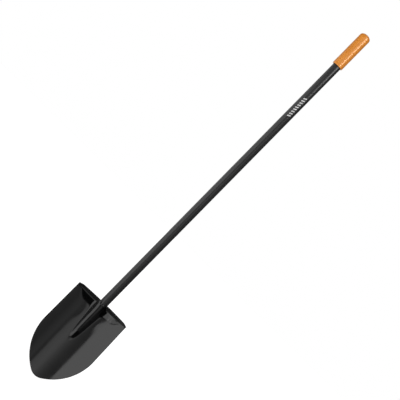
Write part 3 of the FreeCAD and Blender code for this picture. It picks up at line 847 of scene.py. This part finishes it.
# How low the wall reaches in front and behind, and where the floor's glow starts, as sines of elevation.
WALL_END = math.sin(math.radians(-8.5))
WALL_END_BEHIND = math.sin(math.radians(-52))
FLOOR_START = math.sin(math.radians(-45))
WALL_SOFTNESS = 0.04
FLOOR_SOFTNESS = 0.05
BACK_SOFTNESS = 0.25
FLOOR_GLOW = 0.6                    # how bright the floor looks in reflections
FILL_LIGHT = 0.42                   # for paint that scatters
BACKDROP_LIGHT = 1.0


def math_node(tree, operation, first, second):
    """The output of one sum over two sockets or numbers."""
    node = tree.nodes.new("ShaderNodeMath")
    node.operation = operation
    for socket, value in zip(node.inputs, (first, second)):
        if isinstance(value, float):
            socket.default_value = value
        else:
            tree.links.new(value, socket)
    return node.outputs[0]


def edge(tree, value, start, end):
    """0 where the value is at start, 1 at end, smooth between."""
    node = tree.nodes.new("ShaderNodeMapRange")
    node.interpolation_type = "SMOOTHSTEP"
    node.inputs["From Min"].default_value = start
    node.inputs["From Max"].default_value = end
    tree.links.new(value, node.inputs["Value"])
    return node.outputs["Result"]


def studio_reflections(tree):
    """Brightness of the dim studio round the object by direction, for what mirrors it."""
    where = tree.nodes.new("ShaderNodeTexCoord")
    split = tree.nodes.new("ShaderNodeSeparateXYZ")
    tree.links.new(where.outputs["Generated"], split.inputs[0])
    x, y, z = split.outputs
    round_shaft = math_node(tree, "ARCTAN2", x, math_node(tree, "MULTIPLY", y, -1.0))
    share = math_node(tree, "ADD", math_node(tree, "DIVIDE", round_shaft, 2 * math.pi), 0.5)
    stops = [((degrees + 180) / 360, (level / WALL_TOP_LEVEL,) * 3) for degrees, level in STUDIO_WALL]
    wall = math_node(tree, "MULTIPLY", ramp(tree, share, stops), WALL_TOP_LEVEL)
    behind = edge(tree, y, 0.0, BACK_SOFTNESS)
    in_front = edge(tree, y, BACK_SOFTNESS, 0.0)
    above = edge(tree, z, WALL_END - WALL_SOFTNESS, WALL_END + WALL_SOFTNESS)
    low_above = edge(tree, z, WALL_END_BEHIND - FLOOR_SOFTNESS, WALL_END_BEHIND + FLOOR_SOFTNESS)
    lit = math_node(tree, "MAXIMUM", above, math_node(tree, "MULTIPLY", low_above, behind))
    below = edge(tree, z, FLOOR_START + FLOOR_SOFTNESS, FLOOR_START - FLOOR_SOFTNESS)
    floor = math_node(tree, "MULTIPLY", math_node(tree, "MULTIPLY", below, in_front), FLOOR_GLOW)
    return math_node(tree, "ADD", math_node(tree, "MULTIPLY", wall, lit), floor)


def background(tree, strength):
    """A white world shader of the given strength."""
    shade = tree.nodes.new("ShaderNodeBackground")
    shade.inputs["Color"].default_value = (1, 1, 1, 1)
    shade.inputs["Strength"].default_value = strength
    return shade


def choose(tree, switch, otherwise, chosen):
    """The chosen shader where the switch is on, and the other one elsewhere."""
    mix = tree.nodes.new("ShaderNodeMixShader")
    for socket, source in zip(mix.inputs, (switch, otherwise.outputs[0], chosen.outputs[0])):
        tree.links.new(source, socket)
    return mix


def make_world():
    """White behind the object, a dim studio for what paint mirrors, and soft fill for what it scatters."""
    world = bpy.data.worlds.new("studio")
    bpy.context.scene.world = world
    world.use_nodes = True
    tree = world.node_tree
    tree.nodes.clear()
    rays = tree.nodes.new("ShaderNodeLightPath")
    output = tree.nodes.new("ShaderNodeOutputWorld")
    mirrored = background(tree, 1.0)
    tree.links.new(studio_reflections(tree), mirrored.inputs["Strength"])
    for_gloss = choose(tree, rays.outputs["Is Glossy Ray"], background(tree, FILL_LIGHT), mirrored)
    backdrop = background(tree, BACKDROP_LIGHT)
    for_camera = choose(tree, rays.outputs["Is Camera Ray"], for_gloss, backdrop)
    tree.links.new(for_camera.outputs[0], output.inputs["Surface"])


def around(degrees, distance, z):
    """A place round the shaft. 0 is in front, towards -Y, and positive goes to the right, towards +X."""
    angle = math.radians(degrees)
    return Vector((distance * math.sin(angle), SHAFT_Y - distance * math.cos(angle), z))


def panel(name, span, heights, distance, radiance, mirrored=True, scattered=True):
    """A soft box that faces the shaft, between two directions round it in degrees and two heights."""
    left, right = (around(degrees, distance, 0) for degrees in span)
    low, high = heights
    width = (right - left).length
    height = high - low
    data = bpy.data.lights.new(name, "AREA")
    data.shape = "RECTANGLE"
    data.size = width
    data.size_y = height
    data.energy = radiance * math.pi * width * height
    light = bpy.data.objects.new(name, data)
    bpy.context.scene.collection.objects.link(light)
    middle = (left + right) / 2 + Vector((0, 0, (low + high) / 2))
    facing = Vector((0, SHAFT_Y, middle.z)) - middle
    light.rotation_euler = facing.to_track_quat("-Z", "Y").to_euler()
    light.location = middle
    light.visible_camera = False
    light.visible_glossy = mirrored
    light.visible_diffuse = scattered


def make_panels():
    """Four soft boxes that only reflections show, and one that lights only what scatters."""
    panel("soft_left", (-75, -24.5), (-2.8, 1.5), distance=1.6, radiance=1.64, scattered=False)
    panel("soft_side", (-135, -75), (0.12, 1.66), distance=1.6, radiance=1.3, scattered=False)
    panel("soft_low", (-26, -7), (-2.8, -0.14), distance=1.6, radiance=1.6, scattered=False)
    panel("top_strip", (30, 50), (1.45, 2.5), distance=1.2, radiance=9.0, scattered=False)
    panel("soft_front", (-35, 30), (0.3, 2.6), distance=2.4, radiance=1.3, mirrored=False)


CAMERA_DISTANCE = 3.1
CAMERA_YAW = math.radians(-2.7)
CAMERA_ROLL = math.radians(44.53)
CAMERA_AIM = Vector((-12.2 * MM, SHAFT_Y, 734 * MM))
CAMERA_SENSOR = 36
WIDTH_IN_VIEW = 1237.2 * MM         # what the picture's width takes in at the shaft


def make_camera():
    """Level with the middle of the shaft, and rolled to lay the shovel along the picture's diagonal."""
    data = bpy.data.cameras.new("camera")
    data.sensor_width = CAMERA_SENSOR
    data.lens = CAMERA_DISTANCE * CAMERA_SENSOR / WIDTH_IN_VIEW
    camera = bpy.data.objects.new("camera", data)
    bpy.context.scene.collection.objects.link(camera)
    backward = Vector((math.sin(CAMERA_YAW), -math.cos(CAMERA_YAW), 0))
    across = Vector((math.cos(CAMERA_YAW), math.sin(CAMERA_YAW), 0))
    up = Vector((0, 0, 1))
    right = across * math.cos(CAMERA_ROLL) + up * math.sin(CAMERA_ROLL)
    top = up * math.cos(CAMERA_ROLL) - across * math.sin(CAMERA_ROLL)
    turn = Matrix((right, top, backward)).transposed().to_4x4()
    camera.matrix_world = Matrix.Translation(CAMERA_AIM + backward * CAMERA_DISTANCE) @ turn
    bpy.context.scene.camera = camera


def main():
    """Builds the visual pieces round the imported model, then the stage and the camera."""
    make_blade(blade_paint())
    make_shaft(shaft_paint())
    make_print(print_paint())
    make_grip(grip_plastic())
    coating = weld_paint()
    make_back_welds(coating)
    make_toe_weld(coating)
    make_mouth_weld(coating)
    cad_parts["tube_plug"].material_slots[0].material = plug_plastic()
    make_floor()
    make_world()
    make_panels()
    make_camera()
    bpy.context.scene.view_settings.view_transform = "Standard"


main()
